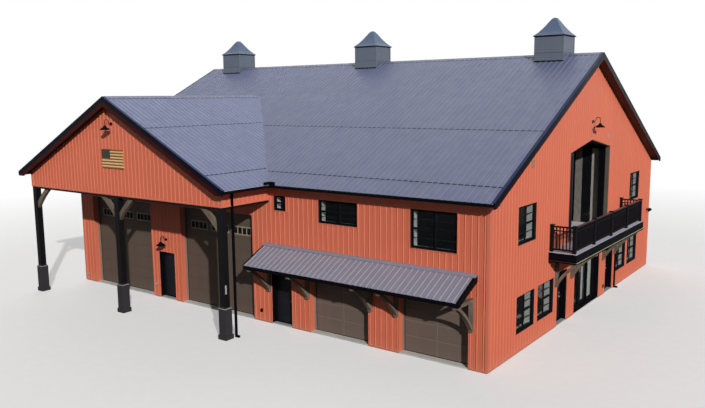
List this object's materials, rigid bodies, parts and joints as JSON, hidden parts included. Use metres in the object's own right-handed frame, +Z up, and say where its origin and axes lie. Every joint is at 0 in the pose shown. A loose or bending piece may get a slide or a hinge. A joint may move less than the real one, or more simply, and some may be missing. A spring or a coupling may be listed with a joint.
{
  "type": "barn",
  "caption": "Gabled red barn with a cross-gabled front porch on posts, a shed awning, a gable balcony, hinged doors and ridge cupolas.",
  "frame": {"origin": "centre of the main block's footprint, on the underside of its floor slab at ground level", "axes": "+X along the main ridge towards the gable with the balcony, +Y towards the back wall, +Z up"},
  "size_m": [22.921, 21.7559, 11.767],
  "materials": {
    "red_siding": "red ribbed steel siding, satin",
    "roof_metal": "slate-blue ribbed steel roofing, satin",
    "awning_metal": "grey-blue ribbed steel roofing, satin",
    "black_trim": "near-black folded steel and aluminium trim, satin",
    "black_timber": "near-black painted timber",
    "weathered_timber": "grey-brown weathered timber",
    "plaque_wood": "stained slats",
    "concrete": "plain trowelled concrete",
    "floor_boards": "plain floor boards",
    "ceiling_boards": "dark soffit boards",
    "cupola_boards": "blue-grey louvred sides",
    "cupola_metal": "blue-grey seamed metal",
    "brown_door": "brown sectional door, satin",
    "black_door": "near-black painted door",
    "glass": "clear glass"
  },
  "bodies": {
    "building": {"floor_slab": "concrete", "loft_floor": "floor_boards", "front_wall_piers": "red_siding", "front_wall_door_heads": "red_siding", "front_wall_porch_band": "red_siding", "front_wall_upper": "red_siding", "right_wall_lower": "red_siding", "right_wall_sides": "red_siding", "right_wall_band": "red_siding", "right_wall_head": "red_siding", "back_wall": "red_siding", "left_wall": "red_siding", "main_roof_front": "roof_metal", "main_roof_back": "roof_metal", "main_ridge_cap": "roof_metal", "rake_boards": "black_trim", "porch_roof_left": "roof_metal", "porch_roof_right": "roof_metal", "porch_ridge_cap": "roof_metal", "porch_gable": "red_siding", "porch_side_walls": "red_siding", "porch_ceiling": "ceiling_boards", "porch_posts": "black_timber", "porch_post_guards": "black_trim", "porch_knee_braces": "weathered_timber", "gutters": "black_trim", "downspouts": "black_trim", "awning_roof": "awning_metal", "awning_brackets": "weathered_timber", "balcony_deck": "black_timber", "balcony_posts": "black_trim", "balcony_rails": "black_trim", "balcony_brackets": "weathered_timber", "cupola_bodies": "cupola_boards", "cupola_roofs": "cupola_metal", "tall_overhead_doors": "brown_door", "low_overhead_doors": "brown_door", "tall_door_glass": "glass", "door_jambs": "black_trim", "door_heads_and_sills": "black_trim", "glass_door_fixed_panels": "black_door", "glass_door_fixed_panes": "glass", "loft_door_frame": "black_door", "loft_leaves": "weathered_timber", "loft_leaf_panes": "glass", "window_frames": "black_trim", "window_panes": "glass", "barn_lamps": "black_trim", "wall_plaque": "plaque_wood"},
    "porch_door_leaf": {"porch_door": "black_door"},
    "front_door_leaf": {"front_door": "black_door"},
    "gable_door_near_leaf": {"gable_door_near": "black_door"},
    "gable_door_far_leaf": {"gable_door_far": "black_door"},
    "glass_slider": {"glass_door_slider": "black_door", "glass_door_slider_pane": "glass"}
  },
  "joints": [
    {"name": "porch_door_hinge", "type": "hinge", "parent": "building", "child": "porch_door_leaf", "pos_m": [-5.034, -8.846, 1.05], "axis": [0, 0, 1], "range_deg": [0, 95]},
    {"name": "front_door_hinge", "type": "hinge", "parent": "building", "child": "front_door_leaf", "pos_m": [1.621, -8.846, 1.05], "axis": [0, 0, 1], "range_deg": [0, 95]},
    {"name": "gable_door_near_hinge", "type": "hinge", "parent": "building", "child": "gable_door_near_leaf", "pos_m": [10.37, -3.317, 1.05], "axis": [0, 0, 1], "range_deg": [0, 95]},
    {"name": "gable_door_far_hinge", "type": "hinge", "parent": "building", "child": "gable_door_far_leaf", "pos_m": [10.37, 2.393, 1.05], "axis": [0, 0, 1], "range_deg": [0, 95]},
    {"name": "glass_door_slide", "type": "slide", "parent": "building", "child": "glass_slider", "axis": [0, 1, 0], "range_m": [0, 0.9]}
  ]
}
